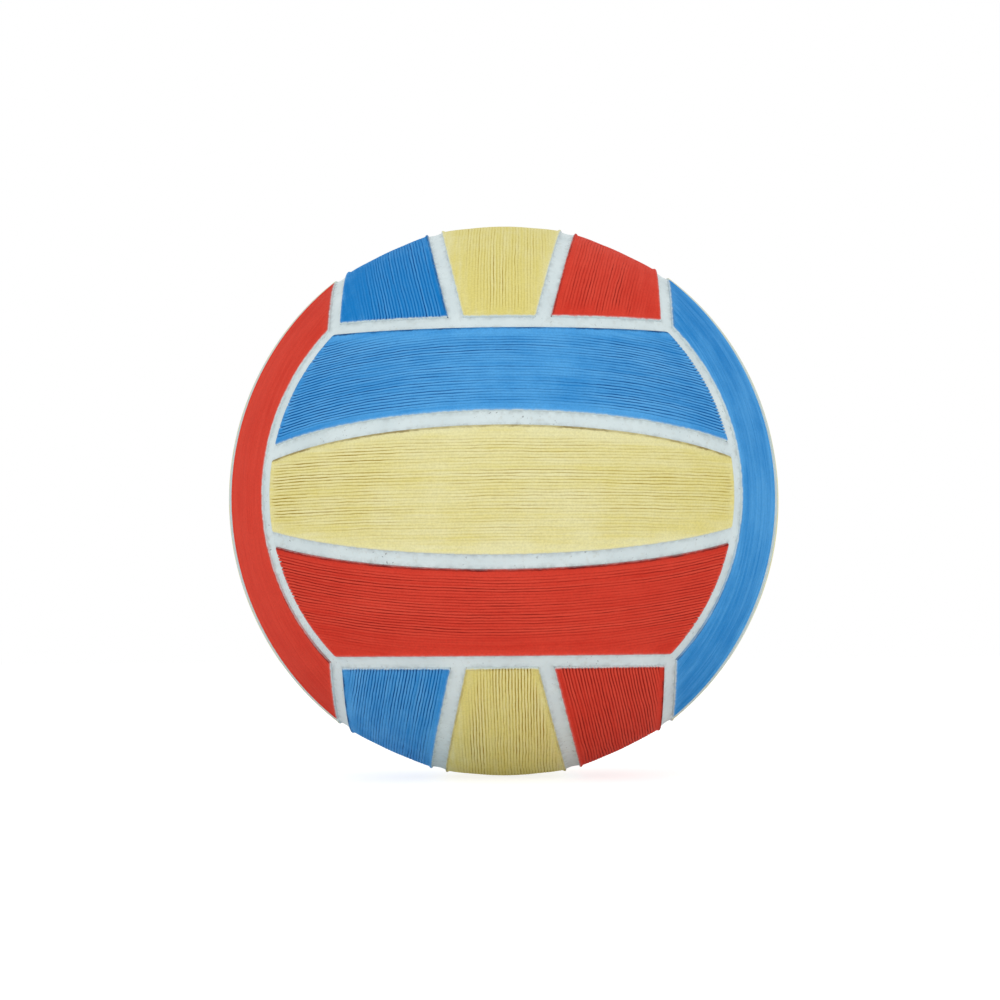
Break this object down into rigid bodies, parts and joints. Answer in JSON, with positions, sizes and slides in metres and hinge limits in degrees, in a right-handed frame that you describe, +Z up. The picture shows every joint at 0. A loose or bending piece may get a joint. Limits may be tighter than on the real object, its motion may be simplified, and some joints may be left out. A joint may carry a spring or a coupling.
{
  "type": "water polo ball",
  "caption": "Inflatable water polo ball: ribbed blue, yellow and red rubber strip panels with raised edges, white channels between them, and a needle valve at the back.",
  "frame": {"origin": "centre of the ball", "axes": "+Z up, -Y towards the face seen in the picture, whose strips are level; +Y out along the needle valve's axis"},
  "size_m": [0.188, 0.1879, 0.188],
  "materials": {
    "panel_blue": "matte",
    "panel_yellow": "matte",
    "panel_red": "matte",
    "carcass_white": "matte",
    "winding_nylon": "matte",
    "bladder_butyl": "matte",
    "valve_butyl": "matte",
    "valve_plug_rubber": "satin"
  },
  "bodies": {
    "root": {"front_upper_panel": "panel_blue", "front_middle_panel": "panel_yellow", "front_lower_panel": "panel_red", "back_upper_panel": "panel_blue", "back_middle_panel": "panel_yellow", "back_lower_panel": "panel_red", "left_front_panel": "panel_red", "left_middle_panel": "panel_yellow", "left_rear_panel": "panel_blue", "right_front_panel": "panel_blue", "right_middle_panel": "panel_yellow", "right_rear_panel": "panel_red", "top_left_panel": "panel_blue", "top_middle_panel": "panel_yellow", "top_right_panel": "panel_red", "bottom_left_panel": "panel_blue", "bottom_middle_panel": "panel_yellow", "bottom_right_panel": "panel_red", "rubber_carcass": "carcass_white", "nylon_winding": "winding_nylon", "bladder": "bladder_butyl", "valve_housing": "valve_butyl", "valve_plug": "valve_plug_rubber"}
  },
  "joints": []
}
